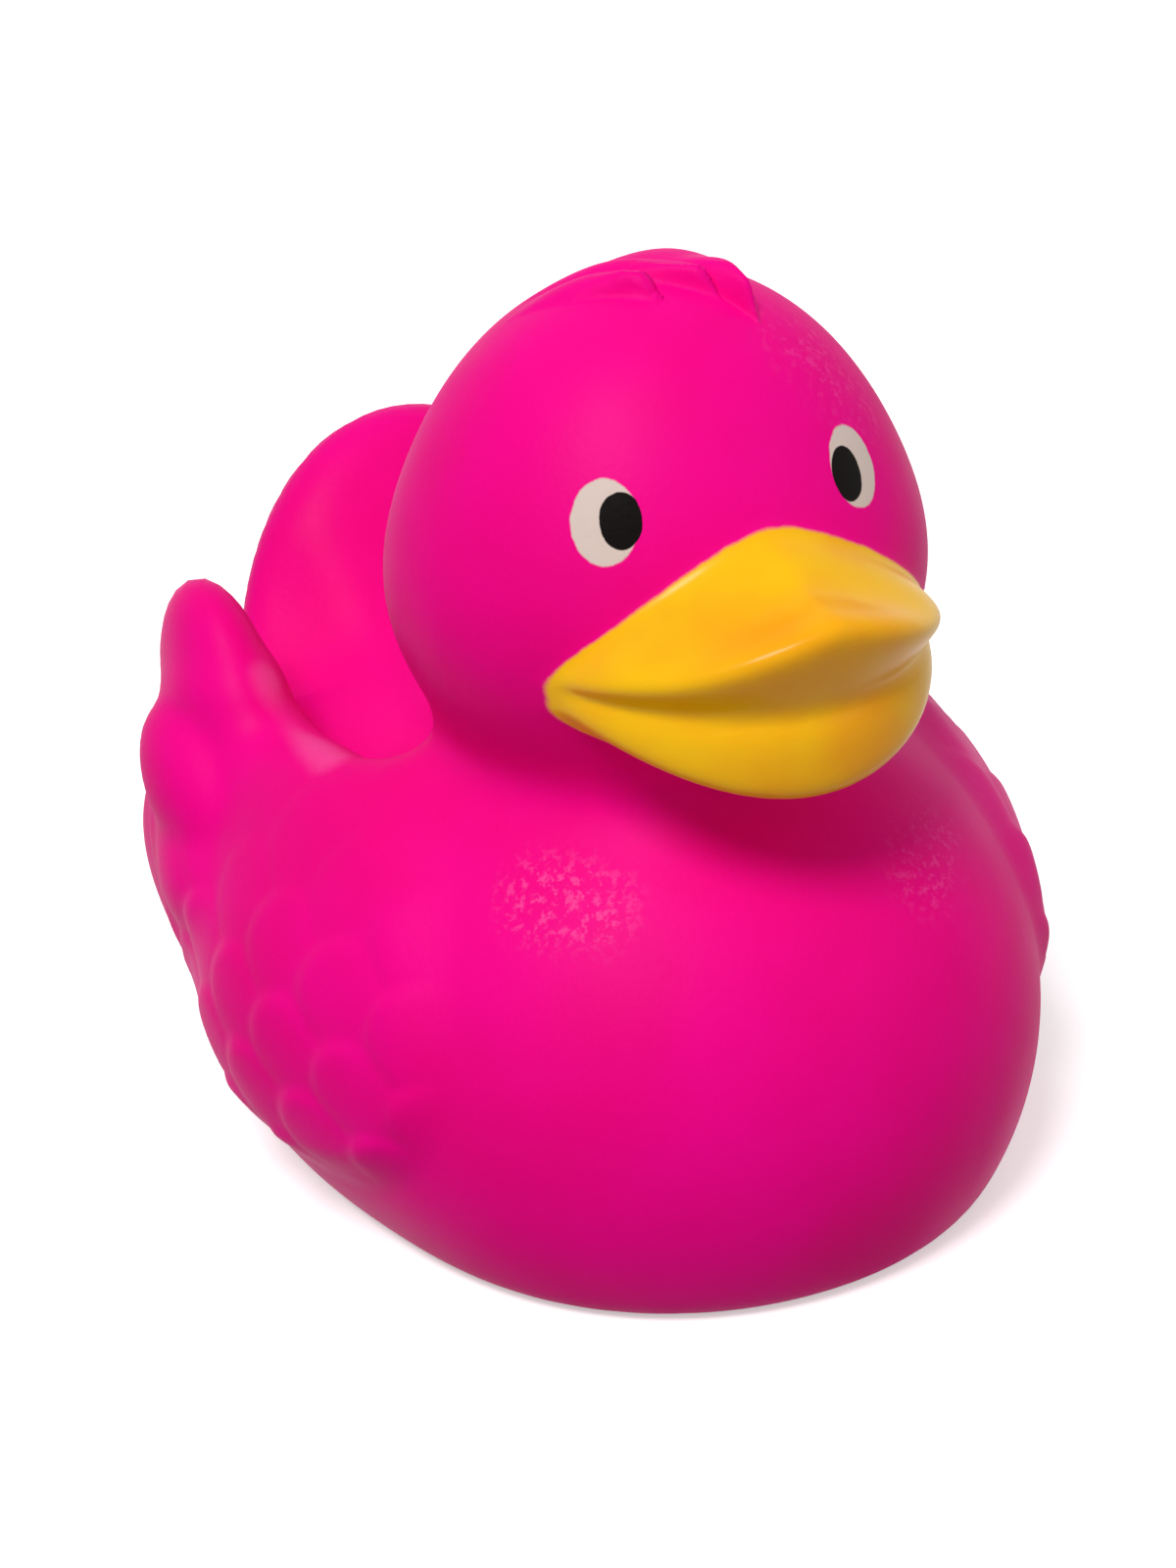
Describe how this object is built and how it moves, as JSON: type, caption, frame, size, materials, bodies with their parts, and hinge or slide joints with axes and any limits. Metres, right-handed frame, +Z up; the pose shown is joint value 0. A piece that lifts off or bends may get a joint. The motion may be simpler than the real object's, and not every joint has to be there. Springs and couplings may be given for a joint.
{
  "type": "rubber duck",
  "caption": "Soft vinyl rubber duck with a painted bill and eyes, feathered wings, a raised tail and a squeaker in its flat base.",
  "frame": {"origin": "middle of the box around the duck, on the surface that it stands on", "axes": "-Y out of the duck's bill, +X out of its left wing, +Z up"},
  "size_m": [0.0758, 0.0906, 0.0816],
  "materials": {
    "vinyl_pink": "satin",
    "plastic_white": "matte"
  },
  "bodies": {
    "root": {"duck_body": "vinyl_pink", "squeaker": "plastic_white"}
  },
  "joints": []
}
